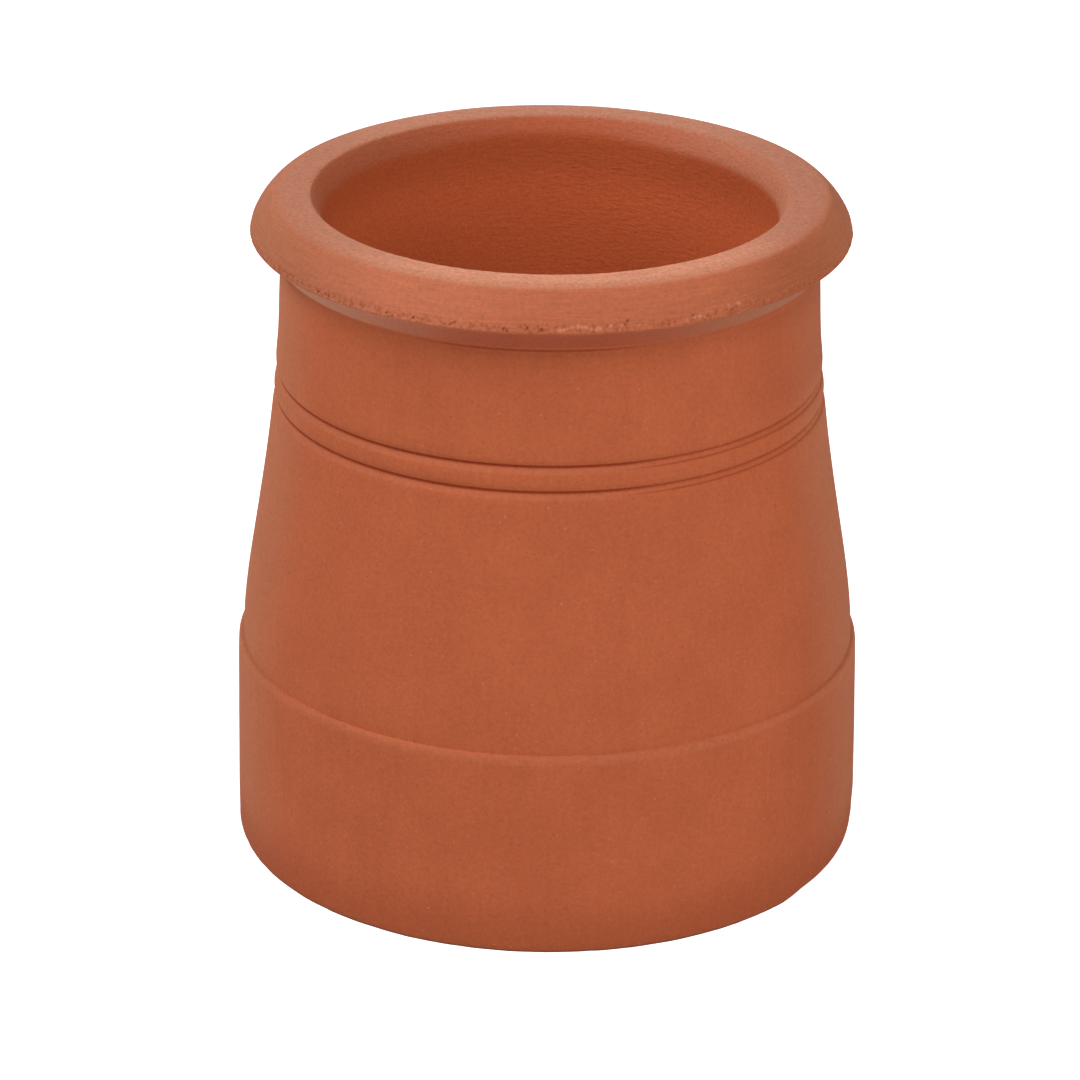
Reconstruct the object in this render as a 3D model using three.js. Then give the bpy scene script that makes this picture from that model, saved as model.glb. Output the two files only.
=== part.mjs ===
// A round terracotta chimney pot, made in one piece of clay and open at both ends.
//
// It stands on a broad plain skirt. Above the skirt's ledge the body draws in to a neck with two
// scored grooves, and a heavy rim stands out around the mouth. The wall is about as thick as a
// thumb all the way up, so the flue inside follows the outside.
//
// Millimetres, +Z up. The origin is the centre of the underside, on the pot's axis.

import * as THREE from "three";

// The whole pot and its wall
const potHeight = 300;
const neckDiameter = 237;
const wallThickness = 19.1;

// The skirt, from the underside up
const skirtDiameter = 280.6;
const skirtHeight = 90;
const skirtLean = 1.2;
const footRoundWidth = 0.8;
const footRoundHeight = 3;

// The ledge on top of the skirt
const ledgeWidth = 2.3;
const ledgeHeight = 3.3;

// The two scored grooves in the lower neck, the upper one measured down from the top
const upperGrooveDrop = 80.5;
const grooveSpacing = 11.2;
const grooveDepth = 1.5;
const grooveUpperFlank = 3.3;
const grooveLowerFlank = 3.2;

// The rim, from the neck outwards and back up to the top
const rimProjection = 13.2;
const rimUndersideHeight = 12.6;
const coveRound = 2.5;
const arrisRound = 1;
const browWidth = 10.5;
const browHeight = 15;
const browBulge = 1.3;
const browEdgeRound = 1.6;
const rimTopFall = 0.7;

// The mouth and the flue behind it
const mouthBevelWidth = 5.5;
const mouthBevelDepth = 12;
const mouthBevelTuck = 0.8;
const flueFootHeight = 66;

// Shape shares: how long the body keeps its direction at each end of its curve, how much of the
// rim's top is level, and where the small curves bend within their own width, height or depth
const shoulderFullness = 0.226;
const neckFullness = 0.498;
const levelShare = 0.63;
const footBendIn = 0.35;
const footBendUp = 0.2;
const lowerFlankBend = 0.45;
const upperFlankBendUp = 0.4;
const upperFlankBendIn = 0.3;
const mouthBend = 0.45;

// Fineness of the mesh: sides around the pot, and steps along each kind of curve
const sides = 80;
const bodySteps = 14;
const flueSteps = 8;
const mouthSteps = 4;
const smallSteps = 3;
const cornerSteps = 2;

// Radii and heights that follow from the sizes above
const skirtRadius = skirtDiameter / 2;
const skirtTopRadius = skirtRadius - skirtLean;
const skirtFlueRadius = skirtRadius - wallThickness;
const shoulderRadius = skirtTopRadius - ledgeWidth;
const shoulderHeight = skirtHeight + ledgeHeight;
const neckRadius = neckDiameter / 2;
const flueRadius = neckRadius - wallThickness;
const mouthRadius = flueRadius + mouthBevelWidth;
const arrisRadius = neckRadius + rimProjection;
const browRadius = arrisRadius - browWidth;
const levelRadius = mouthRadius + (browRadius - mouthRadius) * levelShare;
const browTop = potHeight - rimTopFall;
const arrisHeight = browTop - browHeight;
const neckTop = arrisHeight - rimUndersideHeight;
const upperGrooveHeight = potHeight - upperGrooveDrop;
const lowerGrooveHeight = upperGrooveHeight - grooveSpacing;

// A point of the outline: its distance from the axis and its height
function at(radius, height) {
  return new THREE.Vector2(radius, height);
}

// The points of a curve that leaves its start towards a bend and comes from there to its end
function bent(start, bend, end, steps) {
  return new THREE.QuadraticBezierCurve(start, bend, end).getPoints(steps);
}

// The point at a given distance from a corner towards another point, at most half way there
function stepFrom(corner, towards, distance) {
  const reach = Math.min(distance, corner.distanceTo(towards) / 2);
  return towards.clone().sub(corner).setLength(reach).add(corner);
}

// A corner of the outline taken off in a small curve
function rounded(before, corner, after, size) {
  return bent(stepFrom(corner, before, size), corner, stepFrom(corner, after, size), cornerSteps);
}

// A curve that rises straight up from its foot, draws in, and arrives upright at its top
function drawnIn(foot, top) {
  const rise = top.y - foot.y;
  const aboveFoot = at(foot.x, foot.y + rise * shoulderFullness);
  const belowTop = at(top.x, top.y - rise * neckFullness);
  return new THREE.CubicBezierCurve(foot, aboveFoot, belowTop, top);
}

// The edge of the underside, worn soft
function footOutline() {
  const start = at(skirtRadius - footRoundWidth, 0);
  const bend = at(skirtRadius - footRoundWidth * footBendIn, footRoundHeight * footBendUp);
  const end = at(skirtRadius, footRoundHeight);
  return bent(start, bend, end, smallSteps);
}

// The skirt stands upright over its foot and leans in slightly towards its ledge
function skirtOutline() {
  const start = at(skirtRadius, footRoundHeight);
  const bend = at(skirtRadius, (footRoundHeight + skirtHeight) / 2);
  const end = at(skirtTopRadius, skirtHeight);
  return bent(start, bend, end, smallSteps).slice(1);
}

// The ledge rolls over from the skirt on to the shoulder
function ledgeOutline() {
  const start = at(skirtTopRadius, skirtHeight);
  const bend = at(skirtTopRadius, shoulderHeight);
  const end = at(shoulderRadius, shoulderHeight);
  return bent(start, bend, end, smallSteps).slice(1);
}

const bodyCurve = drawnIn(at(shoulderRadius, shoulderHeight), at(neckRadius, neckTop));

// The body's radius at a height, found by halving, because the curve only ever rises
function bodyRadiusAt(height) {
  const halvings = 30;
  let below = 0;
  let above = 1;
  for (let halving = 0; halving < halvings; halving += 1) {
    const middle = (below + above) / 2;
    if (bodyCurve.getPoint(middle).y < height) below = middle;
    else above = middle;
  }
  return bodyCurve.getPoint(below).x;
}

// A scored groove: the lower flank rolls in from the surface and the upper one curls out again
function grooveOutline(height) {
  const foot = at(bodyRadiusAt(height - grooveLowerFlank), height - grooveLowerFlank);
  const lip = at(bodyRadiusAt(height + grooveUpperFlank), height + grooveUpperFlank);
  const bottom = at(bodyRadiusAt(height) - grooveDepth, height);
  const lowerBend = at(foot.x, height - grooveLowerFlank * lowerFlankBend);
  const upperBend = at(
    lip.x - grooveDepth * upperFlankBendIn,
    height + grooveUpperFlank * upperFlankBendUp,
  );
  return [
    ...bent(foot, lowerBend, bottom, smallSteps),
    ...bent(bottom, upperBend, lip, cornerSteps).slice(1),
  ];
}

// The body between the ledge and the rim, interrupted by the two grooves
function bodyOutline() {
  const grooves = [lowerGrooveHeight, upperGrooveHeight];
  const inGroove = (point) => grooves.some((height) => {
    return point.y > height - grooveLowerFlank * 2 && point.y < height + grooveUpperFlank * 2;
  });
  const plain = bodyCurve.getPoints(bodySteps).slice(1, -1).filter((point) => !inGroove(point));
  const points = [...plain, ...grooves.flatMap(grooveOutline)];
  return points.sort((lower, upper) => lower.y - upper.y);
}

// The rim: a cove out of the neck, a sloping underside, an arris, a brow and a level top
function rimOutline() {
  const neckBelow = at(neckRadius, neckTop - coveRound * 2);
  const cove = at(neckRadius, neckTop);
  const arris = at(arrisRadius, arrisHeight);
  const browEdge = at(browRadius, browTop);
  const levelEdge = at(levelRadius, potHeight);
  const bulge = at(browHeight, browWidth).setLength(browBulge * 2);
  const browBend = arris.clone().add(browEdge).divideScalar(2).add(bulge);
  const browStart = stepFrom(arris, browBend, arrisRound);
  const browEnd = stepFrom(browEdge, browBend, browEdgeRound);
  return [
    ...rounded(neckBelow, cove, arris, coveRound),
    ...rounded(cove, arris, browBend, arrisRound),
    ...bent(browStart, browBend, browEnd, smallSteps).slice(1, -1),
    ...rounded(browBend, browEdge, levelEdge, browEdgeRound),
    levelEdge,
  ];
}

// The edge of the mouth is bevelled round into the upright flue
function mouthOutline() {
  const edge = at(mouthRadius, potHeight);
  const bend = at(flueRadius + mouthBevelTuck, potHeight - mouthBevelDepth * mouthBend);
  const end = at(flueRadius, potHeight - mouthBevelDepth);
  return bent(edge, bend, end, mouthSteps);
}

// The flue widens downwards as the body does, and stands upright inside the skirt
function flueOutline() {
  const curve = drawnIn(at(skirtFlueRadius, flueFootHeight), at(flueRadius, neckTop));
  return [...curve.getPoints(flueSteps).reverse(), at(skirtFlueRadius, 0)];
}

// One closed outline, anticlockwise: up the outside, over the rim and down the flue
function potOutline() {
  const outline = [
    ...footOutline(),
    ...skirtOutline(),
    ...ledgeOutline(),
    ...bodyOutline(),
    ...rimOutline(),
    ...mouthOutline(),
    ...flueOutline(),
  ];
  return [...outline, outline[0].clone()];
}

function chimneyPot() {
  const terracotta = new THREE.MeshStandardMaterial({
    color: 0xb15b3a,
    roughness: 0.9,
    metalness: 0,
  });
  const mesh = new THREE.Mesh(new THREE.LatheGeometry(potOutline(), sides), terracotta);
  mesh.name = "chimney_pot";
  mesh.rotation.x = Math.PI / 2;
  return mesh;
}

const pot = new THREE.Group();
pot.add(chimneyPot());

export default pot;
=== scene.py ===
# %% [markdown]
# # A terracotta chimney pot
#
# A short round pot of unglazed red clay, about as tall as a forearm is long. It was thrown or
# pressed, then turned: the skirt and the neck were smoothed, two lines were scored around the
# neck, and the heavy rim was cut with a tool, which tore its sharp edge a little.
#
# Everything below is in metres. The pot stands on the origin, with +Z up its flue.

import random
from math import atan2, ceil, cos, exp, hypot, pi, radians, sin

import bmesh
import bpy
from mathutils import Euler, Matrix, Vector, kdtree
from mathutils.geometry import interpolate_bezier


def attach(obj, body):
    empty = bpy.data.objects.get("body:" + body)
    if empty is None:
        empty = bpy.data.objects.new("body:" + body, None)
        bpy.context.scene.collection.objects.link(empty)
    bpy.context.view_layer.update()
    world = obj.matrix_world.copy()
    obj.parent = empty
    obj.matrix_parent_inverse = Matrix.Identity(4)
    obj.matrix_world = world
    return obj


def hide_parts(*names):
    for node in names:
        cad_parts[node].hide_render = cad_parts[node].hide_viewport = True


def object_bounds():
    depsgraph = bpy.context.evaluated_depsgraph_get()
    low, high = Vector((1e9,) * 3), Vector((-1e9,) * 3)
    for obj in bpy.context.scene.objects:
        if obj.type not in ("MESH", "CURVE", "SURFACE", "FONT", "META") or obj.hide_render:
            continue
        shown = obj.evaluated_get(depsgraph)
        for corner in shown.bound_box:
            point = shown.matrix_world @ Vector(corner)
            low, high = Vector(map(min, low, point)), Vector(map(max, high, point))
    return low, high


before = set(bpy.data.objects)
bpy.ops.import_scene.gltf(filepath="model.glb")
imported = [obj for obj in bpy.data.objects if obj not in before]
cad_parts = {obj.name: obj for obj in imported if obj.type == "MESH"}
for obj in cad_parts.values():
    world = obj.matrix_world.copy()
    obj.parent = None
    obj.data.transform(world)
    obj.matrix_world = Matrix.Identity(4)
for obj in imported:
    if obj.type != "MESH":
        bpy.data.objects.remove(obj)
cad_low, cad_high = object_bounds()
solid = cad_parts["chimney_pot"]

MM = 0.001
pot_height = cad_high.z
skirt_radius = cad_high.x
print("the pot is", round(pot_height / MM), "mm tall and", round(2 * skirt_radius / MM), "mm wide")

# %% [markdown]
# ## The camera
#
# The photograph looks down on the pot through a long lens, so that the mouth shows as a broad
# ellipse and the sides hardly converge. The camera comes first, because the small marks further
# down are placed by looking through it at the finished shape.

# %% Place the camera
camera_place = Vector((0, -1.98595, 0.99436))
looks_down = radians(23.4175)
turns_left = radians(0.103)
leans = radians(0.395)
lens_length = 160.9
sensor_width = 36
picture_pixels = 1080

camera = bpy.data.objects.new("camera", bpy.data.cameras.new("camera"))
camera.data.lens = lens_length
camera.data.sensor_width = sensor_width
camera.location = camera_place
aim = Euler((pi / 2 - looks_down, 0, turns_left)).to_matrix() @ Matrix.Rotation(leans, 3, "Z")
camera.rotation_euler = aim.to_euler()
bpy.context.scene.collection.objects.link(camera)
bpy.context.scene.camera = camera
print("the camera stands", round(camera_place.length, 2), "m from the pot's foot")

# %% [markdown]
# ## Selecting by place
#
# By hand, edges and faces are picked with the mouse. In a script they are picked by where they
# are. These helpers do that, and they keep the rest of the cells short.

# %% Helpers for objects and selections
def pick(piece):
    """Make one object the only selected and active one."""
    bpy.ops.object.select_all(action="DESELECT")
    piece.select_set(True)
    bpy.context.view_layer.objects.active = piece


def edit(piece, kind="VERT"):
    """Go into edit mode on a mesh, with nothing selected."""
    pick(piece)
    bpy.ops.object.mode_set(mode="EDIT")
    bpy.ops.mesh.select_mode(type=kind)
    bpy.ops.mesh.select_all(action="DESELECT")


def leave_edit():
    bpy.ops.object.mode_set(mode="OBJECT")


def select_verts(piece, wanted):
    """In edit mode, select the vertices whose place passes a test."""
    bpy.ops.mesh.select_all(action="DESELECT")
    shape = bmesh.from_edit_mesh(piece.data)
    for vert in shape.verts:
        vert.select_set(wanted(vert.co))
    shape.select_flush_mode()
    bmesh.update_edit_mesh(piece.data)
    return sum(vert.select for vert in shape.verts)


def split_wide_faces():
    """In edit mode, cut faces with more than four sides into well shaped triangles."""
    bpy.ops.mesh.select_mode(type="FACE")
    bpy.ops.mesh.select_all(action="DESELECT")
    bpy.ops.mesh.select_face_by_sides(number=4, type="GREATER")
    bpy.ops.mesh.quads_convert_to_tris(quad_method="BEAUTY", ngon_method="BEAUTY")


def radius_of(place):
    return hypot(place.x, place.y)


def triangles(piece):
    return sum(len(face.vertices) - 2 for face in piece.data.polygons)


# %% [markdown]
# ## The outline
#
# A potter makes this shape from one outline that turns around an axis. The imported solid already
# has the right outline, as straight facets. So a copy of it is cut down to the one line of
# vertices that lies over +X, and that line is used as the potter's rib.

# %% Cut a copy of the solid down to its outline
same_place = 0.01 * MM

pot = bpy.data.objects.new("terracotta_pot", solid.data.copy())
bpy.context.scene.collection.objects.link(pot)

edit(pot)
bpy.ops.mesh.select_all(action="SELECT")
bpy.ops.mesh.remove_doubles(threshold=same_place)
select_verts(pot, lambda place: place.x < 0 or abs(place.y) > same_place)
bpy.ops.mesh.delete(type="VERT")
leave_edit()
print("the outline has", len(pot.data.vertices), "points")

# %% [markdown]
# ## From facets to a smooth line
#
# The line could be subdivided and smoothed, but that would shrink it. Turned into a Bezier curve
# instead, it still passes through every point of the solid. Automatic handles round it off, and
# vector handles keep the corners that are sharp on the real pot: the foot, the inner corner of
# the ledge, the bottoms of the scored lines and the edge of the mouth.

# %% Make the outline a curve with sharp and smooth points
sharp_turn = radians(45)

bpy.ops.object.convert(target="CURVE")
bpy.ops.object.mode_set(mode="EDIT")
bpy.ops.curve.select_all(action="SELECT")
bpy.ops.curve.spline_type_set(type="BEZIER")
bpy.ops.curve.handle_type_set(type="AUTOMATIC")
bpy.ops.curve.select_all(action="DESELECT")
knots = pot.data.splines[0].bezier_points
for before, knot, after in zip([knots[-1], *knots], knots, [*knots[1:], knots[0]]):
    turn = (knot.co - before.co).angle(after.co - knot.co)
    knot.select_control_point = turn > sharp_turn
bpy.ops.curve.handle_type_set(type="VECTOR")
bpy.ops.object.mode_set(mode="OBJECT")
knots = pot.data.splines[0].bezier_points
print("sharp corners:", sum(knot.handle_left_type == "VECTOR" for knot in knots))

# %% [markdown]
# ## How fine the mesh is, and where
#
# Small things need small faces and plain things don't. The rim's torn edge and the scored lines
# get a point every half millimetre or so, the plain skirt one every few millimetres, and the
# bottom of the flue, which nobody sees, the fewest.

# %% Which side of the wall a place is on, and a smooth step
# Heights up the middle of the wall and its radius there, in millimetres
wall_middle = [
    (0, 131), (90, 130), (150, 120), (200, 111.5), (250, 108.8), (288, 107), (300, 104.7),
]


def in_flue(place):
    """True on the flue's side of the wall, for a place on the outline or on the pot."""
    height = place.z / MM
    for (low, inner), (high, outer) in zip(wall_middle, wall_middle[1:]):
        if height <= high:
            share = (height - low) / (high - low)
            return radius_of(place) / MM < inner + (outer - inner) * share
    return radius_of(place) / MM < outer


def smooth_step(value, low, high):
    """0 below low, 1 above high and smooth between."""
    share = min(max((value - low) / (high - low), 0), 1)
    return share * share * (3 - 2 * share)


# %% Walk along the curve and set its points
foot_top = 5 * MM
ledge_band = (88.5 * MM, 94.5 * MM)
scored_band = (204.5 * MM, 223.5 * MM)
neck_top = 268 * MM
arris_height = 284.4 * MM
arris_reach = 3.6 * MM
mouth_depth = 13 * MM
flue_seen_above = 205 * MM

fine_spacing = 0.6 * MM
mouth_spacing = 1.0 * MM
rim_spacing = 1.3 * MM
seen_flue_spacing = 3 * MM
plain_spacing = 4 * MM
hidden_spacing = 9 * MM


def spacing_at(place):
    """How far apart the outline's points are around a place."""
    height = place.z
    if height < same_place:
        return plain_spacing
    if in_flue(place):
        if height > pot_height - mouth_depth:
            return mouth_spacing
        return seen_flue_spacing if height > flue_seen_above else hidden_spacing
    if ledge_band[0] < height < ledge_band[1] or scored_band[0] < height < scored_band[1]:
        return fine_spacing
    if abs(height - arris_height) < arris_reach:
        return fine_spacing
    if height < foot_top or height > neck_top:
        return rim_spacing
    return plain_spacing


rib = []
for knot, after in zip(knots, [*knots[1:], knots[0]]):
    spacing = spacing_at((knot.co + after.co) / 2)
    steps = ceil((after.co - knot.co).length / spacing)
    rib += interpolate_bezier(
        knot.co, knot.handle_right, after.handle_left, after.co, steps + 1
    )[:-1]
for place in rib:
    place.x = min(place.x, skirt_radius)
    place.z = min(max(place.z, 0), pot_height)

print("the rib has", len(rib), "points")

# %% [markdown]
# ## Small corrections to the rib
#
# Seen close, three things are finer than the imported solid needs. The lower flank of each scored
# line is a straight cut, which catches the light. The lines sit a little lower. And the clay
# under the arris is full and rounded, so the edge turns slowly into the shade.

# %% Cut the scored lines and fill out the arris
solid_lines = (208.3 * MM, 219.5 * MM)
flank_height = 3.2 * MM
flank_depth = 2.0 * MM
line_drop = 0.45 * MM
drop_full = 2.5 * MM
drop_none = 6 * MM
scored_lines = [line - line_drop for line in solid_lines]
full_below = 4.0 * MM
fullness = 0.9 * MM
fullest_high_up = 0.7

outside_rib = [place for place in rib if not in_flue(place)]
for line in solid_lines:
    flank = [place for place in outside_rib if line - flank_height < place.z < line + same_place]
    flank_foot = max(place.x for place in flank)
    for place in flank:
        share = (place.z - line + flank_height) / flank_height
        place.x = min(place.x, flank_foot - flank_depth * share)
for place in outside_rib:
    off = min(abs(place.z - line) for line in solid_lines)
    place.z -= line_drop * (1 - smooth_step(off, drop_full, drop_none))
    below = (arris_height - place.z) / full_below
    if 0 < below < 1:
        place.x += fullness * sin(pi * below ** fullest_high_up)

lines = [(i, (i + 1) % len(rib)) for i in range(len(rib))]
rib_mesh = bpy.data.meshes.new("terracotta_pot")
rib_mesh.from_pydata(rib, lines, [])
bpy.data.objects.remove(pot)
pot = bpy.data.objects.new("terracotta_pot", rib_mesh)
bpy.context.scene.collection.objects.link(pot)
print("the lines are scored at", [round(line / MM, 1) for line in scored_lines], "mm")

# %% [markdown]
# ## Turning it on the wheel
#
# Spin does what the wheel did. A full turn ends on its own start, so the two ends are merged
# there, and only then are the normals recalculated, because Spin may leave them inside out.

# %% Spin the outline into the pot
turns = 272

edit(pot)
bpy.ops.mesh.select_all(action="SELECT")
bpy.ops.mesh.spin(steps=turns, angle=2 * pi, center=(0, 0, 0), axis=(0, 0, 1))
bpy.ops.mesh.select_all(action="SELECT")
bpy.ops.mesh.remove_doubles(threshold=same_place)
bpy.ops.mesh.normals_make_consistent(inside=False)
leave_edit()
print("after the spin:", len(pot.data.vertices), "vertices,", triangles(pot), "triangles")

# %% [markdown]
# ## A finer net where the clay is torn
#
# The rim's sharp edge, the arris, crumbled a little as it was cut, and the mouth's edge was
# nibbled. Only the edges that run around the pot are subdivided there, since the rib is fine
# enough already in the other direction. Beside such a band a face gets extra points on one
# side, so it is cut into triangles at once. Left whole, it would be split into slivers.

# %% Subdivide the bands that need small faces
mouth_edge_radius = 104.9 * MM
edge_reach = 1.6 * MM
band_cuts = 3


def needs_fine_net(place):
    at_arris = abs(place.z - arris_height) < arris_reach and not in_flue(place)
    beside_mouth = abs(radius_of(place) - mouth_edge_radius) < edge_reach
    return at_arris or (beside_mouth and place.z > pot_height - 2 * edge_reach)


edit(pot, "EDGE")
net = bmesh.from_edit_mesh(pot.data)
for line in net.edges:
    ends = [end.co for end in line.verts]
    runs_around = abs(radius_of(ends[0]) - radius_of(ends[1])) < same_place
    runs_around = runs_around and abs(ends[0].z - ends[1].z) < same_place
    line.select_set(runs_around and needs_fine_net(ends[0]))
bmesh.update_edit_mesh(pot.data)
bpy.ops.mesh.subdivide(number_cuts=band_cuts)
split_wide_faces()
leave_edit()
print("with the finer net:", triangles(pot), "triangles")

# %% [markdown]
# ## A rim out of true and a rubbed foot
#
# A rim that is turned by hand runs a little out of true. On this pot it stands about half a
# millimetre towards +X, and the foot is rubbed off at the front right. Proportional editing
# does both as one would by hand: an edge is picked and pushed, and the clay around it follows
# less and less.

# %% Push the rim over and rub the foot
rim_offset = Vector((0.5 * MM, 0, 0))
rim_softness = 30 * MM
rubbed_from = radians(-34)
rubbed_to = radians(-6)
rub_offset = Vector((-1.0 * MM, 0.4 * MM, 0.8 * MM))
rub_softness = 22 * MM
line_reach = 0.3 * MM
edge_width = 1 * MM


def push(piece, wanted, offset, softness):
    """Move the picked vertices, and the ones around them with a smooth falloff."""
    edit(piece)
    picked = select_verts(piece, wanted)
    bpy.ops.transform.translate(
        value=offset,
        use_proportional_edit=True,
        proportional_edit_falloff="SMOOTH",
        proportional_size=softness,
    )
    leave_edit()
    return picked


def on_arris_line(place):
    return abs(place.z - arris_height) < line_reach and not in_flue(place)


def on_rubbed_edge(place):
    at_edge = place.z < line_reach and radius_of(place) > skirt_radius - edge_width
    return at_edge and rubbed_from < atan2(place.y, place.x) < rubbed_to


print("pushed over:", push(pot, on_arris_line, rim_offset, rim_softness), "vertices")
print("rubbed off:", push(pot, on_rubbed_edge, rub_offset, rub_softness), "vertices")

# %% [markdown]
# ## Soft unevenness
#
# The surface was smoothed by hand and by the wheel, so it is never exactly straight. Displace
# modifiers with cloud textures press it in by a few tenths of a millimetre. They only press
# inwards, because the pot's size is its largest size, and a vertex group says how much each
# place takes.

# %% Helpers to paint a vertex group and press a pattern in
def paint(piece, name, weight_of):
    """A vertex group whose weight is worked out from each vertex's place."""
    group = piece.vertex_groups.new(name=name)
    for vert in piece.data.vertices:
        weight = weight_of(vert.co)
        if weight > 0:
            group.add([vert.index], min(weight, 1), "REPLACE")
    return group


def press_in(piece, name, weight_of, size, depth, contrast=1.0):
    """Press a cloud pattern into the surface: the size of its lumps, and how deep it goes."""
    group = paint(piece, name, weight_of)
    texture = bpy.data.textures.new(name, "CLOUDS")
    texture.noise_scale = size
    texture.noise_depth = 2
    texture.contrast = contrast
    modifier = piece.modifiers.new(name, "DISPLACE")
    modifier.texture = texture
    modifier.texture_coords = "LOCAL"
    modifier.strength = -depth
    modifier.mid_level = 0.0
    modifier.vertex_group = group.name
    pick(piece)
    bpy.ops.object.modifier_apply(modifier=name)
    print(name, "pressed in by", round(depth / MM, 2), "mm at most")


# %% Press in the soft unevenness and the worn edges
foot_reach = 3 * MM
share_below_arris = 0.5


def fading(away):
    """1 in the middle of a worn edge and nearly 0 at its reach."""
    return exp(-away * away * 3)


def anywhere_outside(place):
    return 0 if in_flue(place) else smooth_step(place.z, 0, foot_top)


def around_arris(place):
    if in_flue(place):
        return 0
    reach = arris_reach if place.z > arris_height else arris_reach * share_below_arris
    return fading((place.z - arris_height) / reach)


def around_mouth_edge(place):
    away = hypot(radius_of(place) - mouth_edge_radius, place.z - pot_height)
    return fading(away / edge_reach)


def around_foot_edge(place):
    away = hypot(radius_of(place) - skirt_radius, place.z)
    return 0 if in_flue(place) else fading(away / foot_reach)


press_in(pot, "hand_smoothed", anywhere_outside, size=45 * MM, depth=0.30 * MM)
press_in(pot, "uneven_arris", around_arris, size=6 * MM, depth=0.45 * MM)
press_in(pot, "torn_arris", around_arris, size=1.4 * MM, depth=0.38 * MM, contrast=1.7)
press_in(pot, "nibbled_mouth", around_mouth_edge, size=4 * MM, depth=0.35 * MM)
press_in(pot, "worn_foot", around_foot_edge, size=6 * MM, depth=0.5 * MM)

# %% [markdown]
# ## Marks that show in the picture
#
# Torn pits along the arris, pinholes, pale crumbs of ground clay and a few scratches can be seen
# one by one. Each is placed by the pixel where it shows: a ray from the camera through that
# pixel meets the pot, so the mark sits on the surface.

# %% Where the marks show, in pixels of the picture
arris_pits = [
    (290, 274), (293, 276), (318, 291), (324, 293), (328, 296), (339, 301), (362, 306),
    (385, 313), (391, 314.5), (412, 317), (418, 318), (450, 324), (454, 321), (503, 328.5),
    (507, 330), (524, 324), (526, 327), (541, 329), (627, 321), (624, 324), (653, 323.5),
    (665, 323), (693, 315), (715, 311.5), (732, 308.5), (748, 305.5), (746, 301),
]
arris_crumbs = [
    (556, 329), (563, 328.5), (570, 327.5), (577, 326.5), (584, 327), (591, 328), (599, 328),
    (607, 327.5), (614, 327), (620, 325.5), (640, 324), (684, 319), (692, 317.5), (699, 316.5),
    (705, 315.5), (726, 306), (740, 303),
]
pinholes = [
    (528, 123), (408, 138), (384, 138), (395, 163.5), (369, 214), (302, 309), (633, 129),
    (651, 133), (636, 150), (611, 208), (765, 178), (520, 403), (509, 455), (529, 538),
    (620, 534.5), (612, 551), (527, 552), (513, 532), (342, 657), (481, 598), (339, 617),
    (449, 581), (764, 775), (789, 769), (791, 662), (405.5, 842.5), (313, 869), (329, 882),
    (350, 879), (367, 891.5), (740, 838), (743, 873), (588, 864), (707, 826),
]
pale_crumbs = [
    (340, 153), (335, 157), (314, 177), (330, 182), (316, 197), (426, 150), (286, 219),
    (304, 219), (309, 246), (495, 119), (528, 296.5), (608, 131.5), (623, 120.5), (623, 138.5),
    (699, 133), (744, 147), (762, 157), (777, 169), (807, 168), (785, 291), (817, 287),
    (725, 251), (499, 413), (540.5, 414.5), (577, 388), (639, 389), (643.5, 421.5), (505, 517),
    (499, 522), (548, 507.5), (565, 528), (422, 446), (431, 488), (310, 541), (340, 523),
    (482, 684), (430, 533), (561, 604), (531, 705), (516, 734), (515, 749), (596, 661),
    (595, 720), (745, 661), (745, 686), (782, 693), (612, 861.5), (502, 867), (428, 908),
    (494, 944), (510, 946.5), (654, 798.5), (810, 850),
]
scratches = [
    ((462, 664), (462, 672)), ((427, 612), (427, 624)), ((435, 646), (435, 657)),
    ((441, 650), (441, 662)), ((272, 733), (272, 741)), ((287, 733), (287, 741)),
    ((305, 733), (305, 741)), ((320, 725), (320, 733)), ((576, 760), (577, 767)),
    ((583, 762), (584, 769)), ((289, 186), (296, 185)), ((287, 196), (297, 195)),
    ((291, 204), (300, 203)), ((300, 221), (309, 220)), ((305, 228), (313, 227)),
]


def place_shown_at(pixel):
    """The place on the pot that shows at a pixel."""
    middle = picture_pixels / 2
    reach = picture_pixels * lens_length / sensor_width
    ray = aim @ Vector(((pixel[0] + 0.5 - middle) / reach, (middle - pixel[1] - 0.5) / reach, -1))
    hit, place = pot.ray_cast(camera_place, ray.normalized())[:2]
    return place if hit else None


# %% [markdown]
# ## From pixels to marks
#
# A mark is a place, a size, a depth and a tint. Where the arris is torn, one pit comes with
# smaller ones beside it, and the pale crumbs lie in loose clusters. A scratch is a short row
# of shallow marks.

# %% Turn the pixels into marks on the pot
chance_seed = 11
scratch_steps = 5
crumb_spreads = (2, 4, 6)
crumb_rise = 1.3

chance = random.Random(chance_seed)
marks = []


def add_marks(pixels, size, depth, tint, uneven=0.0):
    """Keep each mark's place, size, depth and tint, from -1 for painted shade to 1 for pale."""
    for pixel in pixels:
        place = place_shown_at(pixel)
        if place:
            more = 1 + chance.uniform(-uneven, uneven)
            marks.append((place, size * more, depth * more, tint * more))


def beside(pixels, spread_x, spread_y):
    """The same pixels, each moved a little by chance."""
    return [
        (x + chance.uniform(-spread_x, spread_x), y + chance.uniform(-spread_y, spread_y))
        for x, y in pixels
    ]


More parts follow.
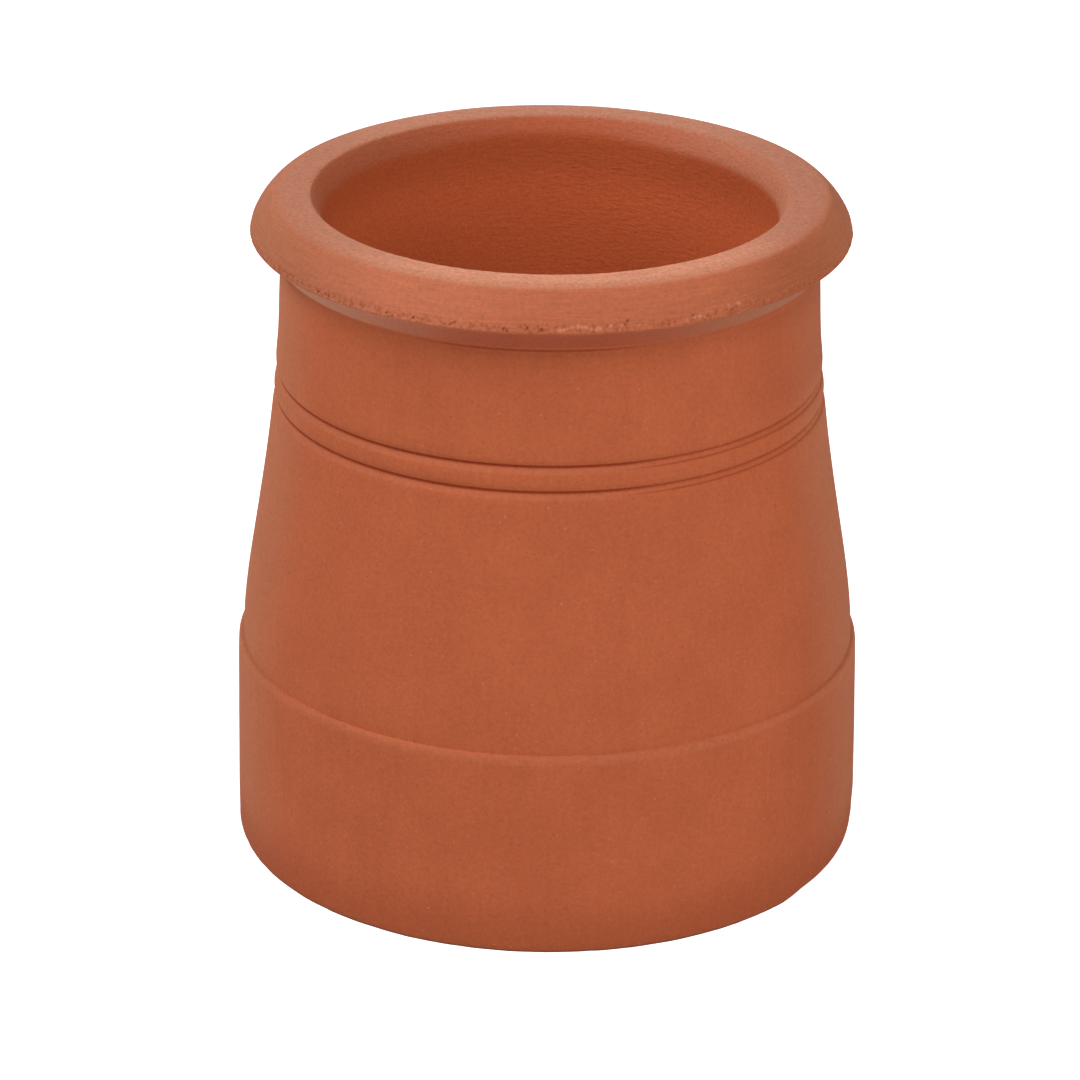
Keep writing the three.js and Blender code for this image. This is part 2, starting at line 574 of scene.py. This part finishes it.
add_marks(arris_pits, size=0.9 * MM, depth=0.45 * MM, tint=-0.9, uneven=0.25)
pits = beside(arris_pits, spread_x=4, spread_y=2)
add_marks(pits, size=0.65 * MM, depth=0.25 * MM, tint=-0.5, uneven=0.3)
pits = beside(arris_pits, spread_x=7, spread_y=3)
add_marks(pits, size=0.6 * MM, depth=0.2 * MM, tint=-0.4, uneven=0.3)
for spread in crumb_spreads:
    crumbs = beside(arris_crumbs, spread, crumb_rise)
    add_marks(crumbs, size=1.2 * MM, depth=0.08 * MM, tint=0.42, uneven=0.4)
add_marks(pinholes, size=0.62 * MM, depth=0.15 * MM, tint=-0.6)
add_marks(pale_crumbs, size=0.6 * MM, depth=0.02 * MM, tint=0.6)
for start, end in scratches:
    shares = [step / scratch_steps for step in range(scratch_steps + 1)]
    line = [tuple(a + (b - a) * share for a, b in zip(start, end)) for share in shares]
    add_marks(line, size=0.5 * MM, depth=0.08 * MM, tint=-0.15)
print("marks in the picture:", len(marks))

# %% [markdown]
# ## More of the same all the way round
#
# The torn pits go right round the arris, so the sides and the back get some too. They are strewn
# by chance, from a fixed seed, and only the part that the picture shows is left to the marks
# above. There the strewn ones are small.

# %% Strew pits around the arris
strewn_pits = 700
strewn_low = arris_height - 0.8 * MM
strewn_high = arris_height + 3.2 * MM
crowded_low = 1.6
picture_side = -20 * MM
smallest = 0.5
largest_seen = 0.8
largest_hidden = 1.15

for pit in range(strewn_pits):
    turn = chance.uniform(-pi, pi)
    height = strewn_low + (strewn_high - strewn_low) * chance.random() ** crowded_low
    way = Vector((cos(turn), sin(turn), 0))
    beside_pot = way * skirt_radius + Vector((0, 0, height))
    place = pot.closest_point_on_mesh(beside_pot)[1]
    largest = largest_seen if place.y < picture_side else largest_hidden
    size = chance.uniform(smallest, largest) * MM
    depth = size * chance.uniform(0.2, 0.45)
    marks.append((place.copy(), size, depth, -chance.uniform(0.2, 0.6)))
print("marks in all:", len(marks))

# %% [markdown]
# ## Clay around each mark
#
# A pit of half a millimetre needs faces smaller than itself. The faces near a mark are
# subdivided where they are still coarse, and every vertex in reach of the mark is then moved
# inwards, deepest in the middle. Each vertex keeps the mark's tint as well, so that the colour,
# painted shade in the pits and pale in the crumbs, falls exactly into the pit.

# %% Subdivide around the marks
mark_margin = 0.6 * MM
coarse = 1.2 * MM
mark_cuts = 4

mark_tree = kdtree.KDTree(len(marks))
for index, mark in enumerate(marks):
    mark_tree.insert(mark[0], index)
mark_tree.balance()

edit(pot, "FACE")
net = bmesh.from_edit_mesh(pot.data)
for face in net.faces:
    middle = face.calc_center_median()
    half_face = (face.verts[0].co - middle).length
    near = mark_tree.find(middle)[2] < half_face + mark_margin
    face.select_set(near and max(line.calc_length() for line in face.edges) > coarse)
bmesh.update_edit_mesh(pot.data)
bpy.ops.mesh.subdivide(number_cuts=mark_cuts)
split_wide_faces()
leave_edit()
print("with a fine net around the marks:", triangles(pot), "triangles")

# %% Press the marks in and keep their tints
vert_tree = kdtree.KDTree(len(pot.data.vertices))
for vert in pot.data.vertices:
    vert_tree.insert(vert.co, vert.index)
vert_tree.balance()
tints = [0.0] * len(pot.data.vertices)
depths = [0.0] * len(pot.data.vertices)
inward = [-vert.normal for vert in pot.data.vertices]
for place, size, depth, tint in marks:
    middle = vert_tree.find(place)[0]
    for spot, index, distance in vert_tree.find_range(middle, size):
        fade = 1 - smooth_step(distance / size, 0, 1)
        depths[index] = max(depths[index], depth * fade)
        if abs(tint * fade) > abs(tints[index]):
            tints[index] = tint * fade
for vert, way, depth in zip(pot.data.vertices, inward, depths):
    vert.co += way * depth
# Pale tints for crumbs, and painted shade for the pits, pinholes and scratches
tint_and_pit_shade = pot.data.attributes.new("tint_and_pit_shade", "FLOAT", "POINT")
tint_and_pit_shade.data.foreach_set("value", tints)
flue_side = pot.data.attributes.new("flue_side", "FLOAT", "POINT")
flue_side.data.foreach_set("value", [float(in_flue(vert.co)) for vert in pot.data.vertices])
print("deepest mark:", round(max(depths) / MM, 2), "mm")

# %% [markdown]
# ## Smooth, with true corners
#
# The faces are shaded smooth, except across corners that are sharp on the real pot. The
# vertex groups have done their work and go.

# %% Shade it smooth
sharp_edge = radians(50)

pot.vertex_groups.clear()
pick(pot)
bpy.ops.object.shade_smooth_by_angle(angle=sharp_edge)
print("the finished pot:", triangles(pot), "triangles")

# %% [markdown]
# ## Writing a material as sums
#
# A material is a tree of nodes. Wiring one node at a time hides the idea, so a small class wraps
# a socket and lets Python's own signs add the Math nodes.

# %% Value and Recipe
class Value:
    """A number or colour that varies over the surface."""

    def __init__(self, recipe, socket):
        self.recipe = recipe
        self.socket = socket

    def beside(self, output):
        """Another output of the same node."""
        return Value(self.recipe, self.socket.node.outputs[output])

    def __add__(self, other):
        return self.recipe.math("ADD", self, other)

    def __radd__(self, other):
        return self.recipe.math("ADD", other, self)

    def __sub__(self, other):
        return self.recipe.math("SUBTRACT", self, other)

    def __rsub__(self, other):
        return self.recipe.math("SUBTRACT", other, self)

    def __mul__(self, other):
        return self.recipe.math("MULTIPLY", self, other)

    def __rmul__(self, other):
        return self.recipe.math("MULTIPLY", other, self)

    def __truediv__(self, other):
        return self.recipe.math("DIVIDE", self, other)


class Recipe:
    """A material whose nodes are added by what they do."""

    def __init__(self, name):
        self.material = bpy.data.materials.new(name)
        self.material.use_nodes = True
        self.tree = self.material.node_tree
        self.tree.nodes.clear()

    def add(self, kind, settings, inputs, output=0):
        """Add one node: its type, its settings, then the values or links of its sockets."""
        node = self.tree.nodes.new(kind)
        for name, setting in settings.items():
            setattr(node, name, setting)
        for name, given in inputs.items():
            if isinstance(given, Value):
                self.tree.links.new(given.socket, node.inputs[name])
            else:
                node.inputs[name].default_value = given
        return None if output is None else Value(self, node.outputs[output])

    def math(self, operation, *values):
        return self.add("ShaderNodeMath", {"operation": operation}, dict(enumerate(values)))

    def step(self, value, low, high):
        """0 below low, 1 above high and smooth between; the other way round if low is higher."""
        inputs = {"Value": value, "From Min": low, "From Max": high}
        return self.add("ShaderNodeMapRange", {"interpolation_type": "SMOOTHSTEP"}, inputs)

    def mix(self, share, first, second):
        inputs = {0: share, 6: first, 7: second}
        return self.add("ShaderNodeMix", {"data_type": "RGBA"}, inputs, output=2)

    def shade(self, colour, factor):
        """A colour made darker or lighter by a factor."""
        settings = {"data_type": "RGBA", "blend_type": "MULTIPLY"}
        return self.add("ShaderNodeMix", settings, {0: 1.0, 6: colour, 7: factor}, output=2)

    def noise(self, place, size, detail=2.0, roughness=0.5):
        """Smooth noise around 0.5 whose lumps are about as wide as size."""
        inputs = {"Vector": place, "Scale": 1 / size, "Detail": detail, "Roughness": roughness}
        return self.add("ShaderNodeTexNoise", {}, inputs)

    def stretch(self, place, factors):
        return self.add("ShaderNodeVectorMath", {"operation": "MULTIPLY"}, {0: place, 1: factors})

    def surface(self, shader):
        self.add("ShaderNodeOutputMaterial", {}, {"Surface": shader}, output=None)


# %% [markdown]
# ## Fired clay
#
# Unglazed clay is matt and nearly one colour, but never quite: the kiln reddens it unevenly, the
# ground fired clay in it shows as pale specks, and gas leaves pinholes. The turning tool leaves
# fine lines around the rim, and wiping leaves faint streaks down the body. Each of these is one
# noise or cell pattern at its real size. A pattern only shows where it belongs, so the first cell
# works out where on the pot a point is.

# %% Where a point is on the pot
clay = Recipe("terracotta")
place = clay.add("ShaderNodeTexCoord", {}, {}, output="Object")
x = clay.add("ShaderNodeSeparateXYZ", {}, {0: place}, output="X")
y = x.beside("Y")
z = x.beside("Z")
radius = clay.math("SQRT", x * x + y * y)
off_middle = clay.math("ABSOLUTE", x)
in_the_flue = clay.add("ShaderNodeAttribute", {"attribute_name": "flue_side"}, {}, output="Fac")
mark_tint = clay.add("ShaderNodeAttribute", {"attribute_name": "tint_and_pit_shade"}, {}, output="Fac")
outside = 1 - in_the_flue


def along(value, start, end):
    """0 up to a start, 1 from an end on and smooth between, with both in millimetres."""
    return clay.step(value, start * MM, end * MM)


on_top = along(z, 298.3, 299.9)
on_brow = along(z, 281.4, 283.0) * (1 - on_top) * outside
on_body = along(z, 270, 268) * outside


def around_and_along(round_length):
    """A place that changes slowly around the pot and at full rate along its outline."""
    from_mouth = (radius - mouth_edge_radius) * (1 - 2 * in_the_flue)
    inputs = {
        "X": x / radius * round_length,
        "Y": y / radius * round_length,
        "Z": z - from_mouth,
    }
    return clay.add("ShaderNodeCombineXYZ", {}, inputs)


# %% The patterns in the clay
drawn_downwards = (1, 1, 0.06)

mottle = clay.noise(place, 26 * MM, detail=2)
speckle = clay.noise(place, 0.75 * MM, detail=1)
grit = clay.noise(place, 1.7 * MM, detail=1)
streaks = clay.noise(clay.stretch(place, drawn_downwards), 2.6 * MM, detail=2)
turning = clay.noise(around_and_along(8 * MM), 0.9 * MM, detail=2, roughness=0.6)
orange_peel = clay.noise(around_and_along(33 * MM), 1.5 * MM, detail=2)

# Round dots: each cell of a lattice holds one, and its drawn lot says if it is pale or dark
dot_cell = 4.5 * MM
dot_size = 0.55 * MM
dot_core = 0.45
pale_share = 0.25
dark_share = 0.49
lot_edge = 0.01

away = clay.add("ShaderNodeTexVoronoi", {}, {"Vector": place, "Scale": 1 / dot_cell}, "Distance")
lot = clay.add("ShaderNodeSeparateColor", {}, {0: away.beside("Color")}, output="Red")
dot = clay.step(away * dot_cell, dot_size, dot_size * dot_core)
pale_dots = dot * clay.step(lot, pale_share + lot_edge, pale_share)
dark_dots = dot * clay.step(lot, 1 - dark_share - lot_edge, 1 - dark_share)

# %% The clay's own colour
fired_red = (0.452, 0.103, 0.0335, 1)
deeper_red = (0.387, 0.083, 0.0265, 1)
paler_red = (0.511, 0.127, 0.047, 1)
grog_pale = (0.660, 0.270, 0.150, 1)
# Dark specks, and the painted shade in pits
speck_and_pit_shade = (0.250, 0.045, 0.012, 1)
least_pale = 0.3
paler_by_mottle = 0.35
evenness = 0.5

colour = clay.mix(clay.step(mottle, 0.3, 0.7) * paler_by_mottle + least_pale, deeper_red, paler_red)
colour = clay.mix(evenness, colour, fired_red)

# %% [markdown]
# ## Painted light on the rim and in the flue
#
# The rim's brow is painted with a grey sheen on the left, a highlight towards the front and
# a deeper red shade on the right. The level top is dusty, with a painted sheen most of all in
# front and beside the mouth. Inside, the flue is painted darker at the top and paler downwards,
# and its bevel is painted shaded on the left and lit on the right.

# %% Colours of the flue
# Painted shade at the flue's top and painted light lower down; the bevel shaded left, lit right
flue_top_shade = (0.412, 0.077, 0.019, 1)
flue_low_light = (0.560, 0.114, 0.032, 1)
bevel_left_shade = (0.390, 0.100, 0.040, 1)
bevel_far = (0.470, 0.112, 0.046, 1)
bevel_right_light = (0.505, 0.178, 0.096, 1)
bevel_drop = 2.5 * MM

flue = clay.mix(along(z, 290, 262), flue_top_shade, flue_low_light)
bevel = clay.mix(along(x, -90, 0), bevel_left_shade, bevel_far)
bevel = clay.mix(along(x, 5, 100), bevel, bevel_right_light)
bevel_reach = z + along(off_middle, 15, 60) * bevel_drop
flue = clay.mix(along(bevel_reach, 290, 295), flue, bevel)
colour = clay.mix(in_the_flue, colour, flue)

# %% Colours of the rim's brow
# Painted light on the brow: a grey sheen on the left, a highlight, and a painted shade on the right
brow_left_sheen = (0.404, 0.126, 0.059, 1)
brow_highlight = (0.496, 0.150, 0.071, 1)
brow_front = (0.456, 0.127, 0.055, 1)
brow_right_shade = (0.341, 0.091, 0.036, 1)
brow_cover = 0.9

brow = clay.mix(along(x, -115, -60), brow_left_sheen, brow_highlight)
brow = clay.mix(along(x, -50, -5), brow, brow_front)
brow = clay.mix(along(x, 60, 110), brow, brow_right_shade)
colour = clay.mix(on_brow * brow_cover, colour, brow)

# %% Dust and painted sheen on the level top
dusty_red = (0.462, 0.184, 0.107, 1)
dusty_side = (0.410, 0.153, 0.087, 1)
pale_dust_and_sheen = (0.610, 0.247, 0.142, 1)
front_leans_right = 0.12
dust_and_sheen_at_brow = 0.45

# Paler in front and beside the mouth: dust, and a painted sheen
in_front = along(y - x * front_leans_right, -60, -105)
beside_mouth = along(radius, 117, 113)
in_streaks = clay.step(turning, 0.15, 0.62)
dust_and_sheen_share = in_front * in_streaks * (dust_and_sheen_at_brow + (1 - dust_and_sheen_at_brow) * beside_mouth)
dust_and_sheen = clay.mix(along(off_middle, 60, 112), dusty_red, dusty_side)
dust_and_sheen = clay.mix(dust_and_sheen_share, dust_and_sheen, pale_dust_and_sheen)
colour = clay.mix(on_top, colour, dust_and_sheen)

# %% [markdown]
# ## Painted shade and sheen
#
# Under the rim a painted shade, dull red in front, turns into a paler painted reflection of
# the floor at both sides. The sides of the body carry a painted sheen, and the right side a
# painted shade, most of all on the neck. Towards the foot a painted shade makes the clay deeper
# red, and a painted contact shadow darkens its edge.

# %% Paint the shade, the sheen and the reflection
under_rim_shade = (0.386, 0.079, 0.031, 1)
under_left_reflection = (0.535, 0.235, 0.138, 1)
under_right_reflection = (0.422, 0.162, 0.086, 1)
right_side_shade = (0.330, 0.070, 0.025, 1)
side_sheen = (0.430, 0.165, 0.083, 1)
foot_shade = (0.360, 0.076, 0.024, 1)
foot_contact_shadow = (0.090, 0.030, 0.014, 1)
right_shade_share = 0.4
neck_shade_share = 0.35
body_sheen_share = 0.5
brow_sheen_share = 0.35
foot_shade_share = 0.8

# Painted shade under the rim in front, and a painted reflection of the floor at the sides
under_rim = along(z, 272.0, 273.2) * along(z, 284.0, 281.6) * outside
under = clay.mix(along(x, -20, -115), under_rim_shade, under_left_reflection)
under = clay.mix(along(x, 20, 115), under, under_right_reflection)
colour = clay.mix(under_rim, colour, under)

# Painted shade on the right of the body
right_side = along(x, 88, 125) * on_body
colour = clay.mix(right_side * right_shade_share, colour, right_side_shade)
# Painted sheen towards the left and right edges of the body and the brow
at_side = clay.step(off_middle / radius, 0.80, 1.0)
side_sheen_share = on_body * body_sheen_share + on_brow * brow_sheen_share
colour = clay.mix(at_side * side_sheen_share, colour, side_sheen)
# More painted shade on the right of the neck
neck_right = along(x, 65, 100) * along(z, 215, 235) * on_body
colour = clay.mix(neck_right * neck_shade_share, colour, right_side_shade)
# Painted shade towards the foot
near_foot = along(z, 32, 2) * outside
colour = clay.mix(near_foot * foot_shade_share, colour, foot_shade)

# %% [markdown]
# ## Painted highlights and shade along the lines
#
# The ledge and the lower flanks of the scored lines are painted paler, as a highlight. The
# bottoms of the lines hold a painted brown shade. On the right the tool chattered, and left a
# second, finer line below each, painted as a line of shade. The cove under the rim has painted
# shade, most in front.

# %% Paint highlights and shade along the ledge, the scored lines, the cove and the foot
groove_shade = (0.290, 0.036, 0.006, 1)
ledge_height = 91.5 * MM
cove_height = 271.0 * MM
ledge_highlight = 0.3
flank_highlight = 0.4
chatter_shade = 0.55
right_line_shade = 0.5
cove_line_shade = 0.6
cove_shadow_fade = 0.15
cove_side_share = 0.15
contact_shadow_cover = 0.85


def near_height(height, width):
    """1 at a height on the outside, and 0 a width above and below it."""
    off = clay.math("ABSOLUTE", z - height)
    return clay.step(off, width, width * 0.3) * outside


def near_lines(shift, width):
    return near_height(scored_lines[0] + shift, width) + near_height(scored_lines[1] + shift, width)


# Painted highlights on the ledge and on the lower flanks of the scored lines
colour = clay.mix(near_height(ledge_height, 3 * MM) * ledge_highlight, colour, brow_highlight)

left_of_chatter = along(x, 60, 20)
flanks = near_lines(-2.0 * MM, 1.6 * MM) * left_of_chatter
colour = clay.mix(flanks * flank_highlight, colour, brow_highlight)
# Painted shade in the finer lines on the right and in the bottoms of the scored lines
chatter_line_shade = near_lines(-2.3 * MM, 0.6 * MM) * (1 - left_of_chatter)
colour = clay.mix(chatter_line_shade * chatter_shade, colour, groove_shade)
line_shade = right_line_shade + (1 - right_line_shade) * left_of_chatter
colour = clay.mix(near_lines(0.1 * MM, 1.1 * MM) * line_shade, colour, groove_shade)

# Painted shade in the cove under the rim, with a softer painted shadow below it
cove_front = along(clay.math("ABSOLUTE", x + 8 * MM), 60, 20)
cove_shade = near_height(cove_height, 0.9 * MM) * cove_line_shade
cove_shade = cove_shade + near_height(cove_height - 1.2 * MM, 3.5 * MM) * cove_shadow_fade
cove_share = cove_side_share + (1 - cove_side_share) * cove_front
colour = clay.mix(cove_shade * cove_share, colour, groove_shade)

# A painted contact shadow along the foot's edge
contact_shadow_edge = along(z, 1.2, 0.4) * outside
colour = clay.mix(contact_shadow_edge * contact_shadow_cover, colour, foot_contact_shadow)

# %% [markdown]
# ## Grain, torn clay and marks
#
# The patterns make the colour a little darker and lighter, whatever it is, so the grain shows
# the same on every side. The dust on the top is grainier and the brow shows its turning lines.
# The pits and crumbs that were pressed in earlier carry a tint, which is used here: pale for
# the crumbs, and painted shade for the pits, pinholes and scratches.

# %% Shade the grain and tint the marks
noise_middle = 0.5
speckle_shade = 0.30
grit_shade = 0.30
streak_shade = 0.10
turning_shade = 0.40
dusty_speckle_shade = 0.38
dusty_grit_shade = 0.25
torn_shade = 0.35
pale_dot_cover = 0.3
dark_dot_cover = 0.5

grain = 1 + (speckle - noise_middle) * (speckle_shade + on_top * dusty_speckle_shade)
grain = grain + (grit - noise_middle) * (grit_shade + on_top * dusty_grit_shade)
grain = grain + (noise_middle - streaks) * on_body * streak_shade
grain = grain + (turning - noise_middle) * on_brow * turning_shade
colour = clay.shade(colour, grain)
# Painted shade in patches of the torn clay along the arris
torn_clay_shade = near_height(arris_height + 0.8 * MM, 2.6 * MM) * clay.step(grit, 0.50, 0.36)
colour = clay.mix(torn_clay_shade * torn_shade, colour, groove_shade)
colour = clay.mix(pale_dots * pale_dot_cover, colour, grog_pale)
colour = clay.mix(dark_dots * dark_dot_cover, colour, speck_and_pit_shade)
# Pale crumbs, and painted shade in the pits, pinholes and scratches
colour = clay.mix(clay.step(mark_tint, 0.05, 0.8), colour, grog_pale)
colour = clay.mix(clay.step(mark_tint, -0.05, -0.8), colour, speck_and_pit_shade)

# %% [markdown]
# ## A matt, finely grained surface
#
# The same patterns stand out by a fraction of a millimetre, so the light catches them. The flue
# has the soft dimples of clay that was only pressed, and never smoothed.

# %% The clay's surface
speckle_relief = 0.16 * MM
grit_relief = 0.20 * MM
turning_relief = 0.22 * MM
dimple_relief = 0.45 * MM
least_rough = 0.82
rougher_by_speckle = 0.12

relief = speckle * speckle_relief + grit * grit_relief
relief = relief + turning * on_brow * turning_relief + orange_peel * in_the_flue * dimple_relief
bump = clay.add("ShaderNodeBump", {}, {"Height": relief, "Distance": 1.0, "Strength": 1.0})
roughness = least_rough + rougher_by_speckle * clay.step(speckle, 0.3, 0.7)

shader = clay.add(
    "ShaderNodeBsdfPrincipled",
    {},
    {
        "Base Color": colour,
        "Roughness": roughness,
        "Normal": bump,
        "Diffuse Roughness": 0.7,
        "Specular IOR Level": 0.3,
    },
)
clay.surface(shader)
pot.data.materials.clear()
pot.data.materials.append(clay.material)
print("the clay takes", len(clay.tree.nodes), "nodes")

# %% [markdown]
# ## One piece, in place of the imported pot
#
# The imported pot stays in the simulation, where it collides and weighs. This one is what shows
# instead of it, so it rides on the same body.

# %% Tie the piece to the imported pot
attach(pot, "root")
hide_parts("chimney_pot")

# %% [markdown]
# ## A white studio
#
# The picture was taken on white paper that shows pure white, yet little of that light comes back
# on to the clay. One sheet can't do both. So there are two, one on the other: the camera sees
# the upper one, which glows slightly, and the clay is lit by the lower one, which only reflects.

# %% Two sheets of paper
paper_size = 16
paper_glow = 0.85
seen_white = (0.8, 0.8, 0.8, 1)
lighting_white = (0.7, 0.7, 0.7, 1)
sheet_gap = 0.1 * MM

bpy.context.scene.view_settings.view_transform = "Standard"


def sheet(name, colour, glow, height):
    bpy.ops.object.select_all(action="DESELECT")
    bpy.ops.mesh.primitive_plane_add(size=paper_size, location=(0, 0, height))
    paper = bpy.context.object
    paper.name = name
    finish = Recipe(name)
    inputs = {
        "Base Color": colour,
        "Roughness": 0.9,
        "Emission Color": (1, 1, 1, 1),
        "Emission Strength": glow,
    }
    finish.surface(finish.add("ShaderNodeBsdfPrincipled", {}, inputs))
    # Such a large sheet costs samples if it is searched for like a lamp
    finish.material.cycles.emission_sampling = "NONE"
    paper.data.materials.append(finish.material)
    return paper


seen_paper = sheet("seen_paper", seen_white, glow=paper_glow, height=0)
seen_paper.visible_diffuse = False
seen_paper.visible_glossy = False
seen_paper.visible_transmission = False
seen_paper.visible_shadow = False
lighting_paper = sheet("lighting_paper", lighting_white, glow=0, height=-sheet_gap)
lighting_paper.visible_camera = False

# %% [markdown]
# ## Soft light from all around
#
# Large softboxes stand in front, to the left and to the right, so the body has no hard shadow.
# One hangs over the left side of the rim, low ones fill the right side, and one behind lights
# the far side of the pot.

# %% Softboxes, with their powers in watts
light_target = Vector((0, 0, 0.15))


def softbox(name, position, power, width=1.0, height=1.0):
    light = bpy.data.objects.new(name, bpy.data.lights.new(name, "AREA"))
    light.data.shape = "RECTANGLE"
    light.data.size = width
    light.data.size_y = height
    light.data.energy = power
    light.location = position
    light.rotation_euler = (light_target - Vector(position)).to_track_quat("-Z", "Y").to_euler()
    bpy.context.scene.collection.objects.link(light)


softbox("key_left", (-0.9, -1.0, 1.5), 11.8)
softbox("key_right", (0.9, -1.0, 1.5), 17.3)
softbox("over_left", (-1.3, 0.1, 1.4), 18.8)
softbox("front_left", (-1.2, -1.6, 0.7), 2.6)
softbox("front", (0, -2.3, 1.2), 1.9)
softbox("low_front_right", (0.8, -1.9, 0.4), 8.4)
softbox("low_right", (1.5, -0.9, 0.35), 4.4)
softbox("behind", (0, 2.2, 0.45), 17, width=1.2, height=0.8)

world = bpy.data.worlds.new("studio")
bpy.context.scene.world = world
world.use_nodes = True
world.node_tree.nodes["Background"].inputs["Color"].default_value = (1, 1, 1, 1)
world.node_tree.nodes["Background"].inputs["Strength"].default_value = 0.0
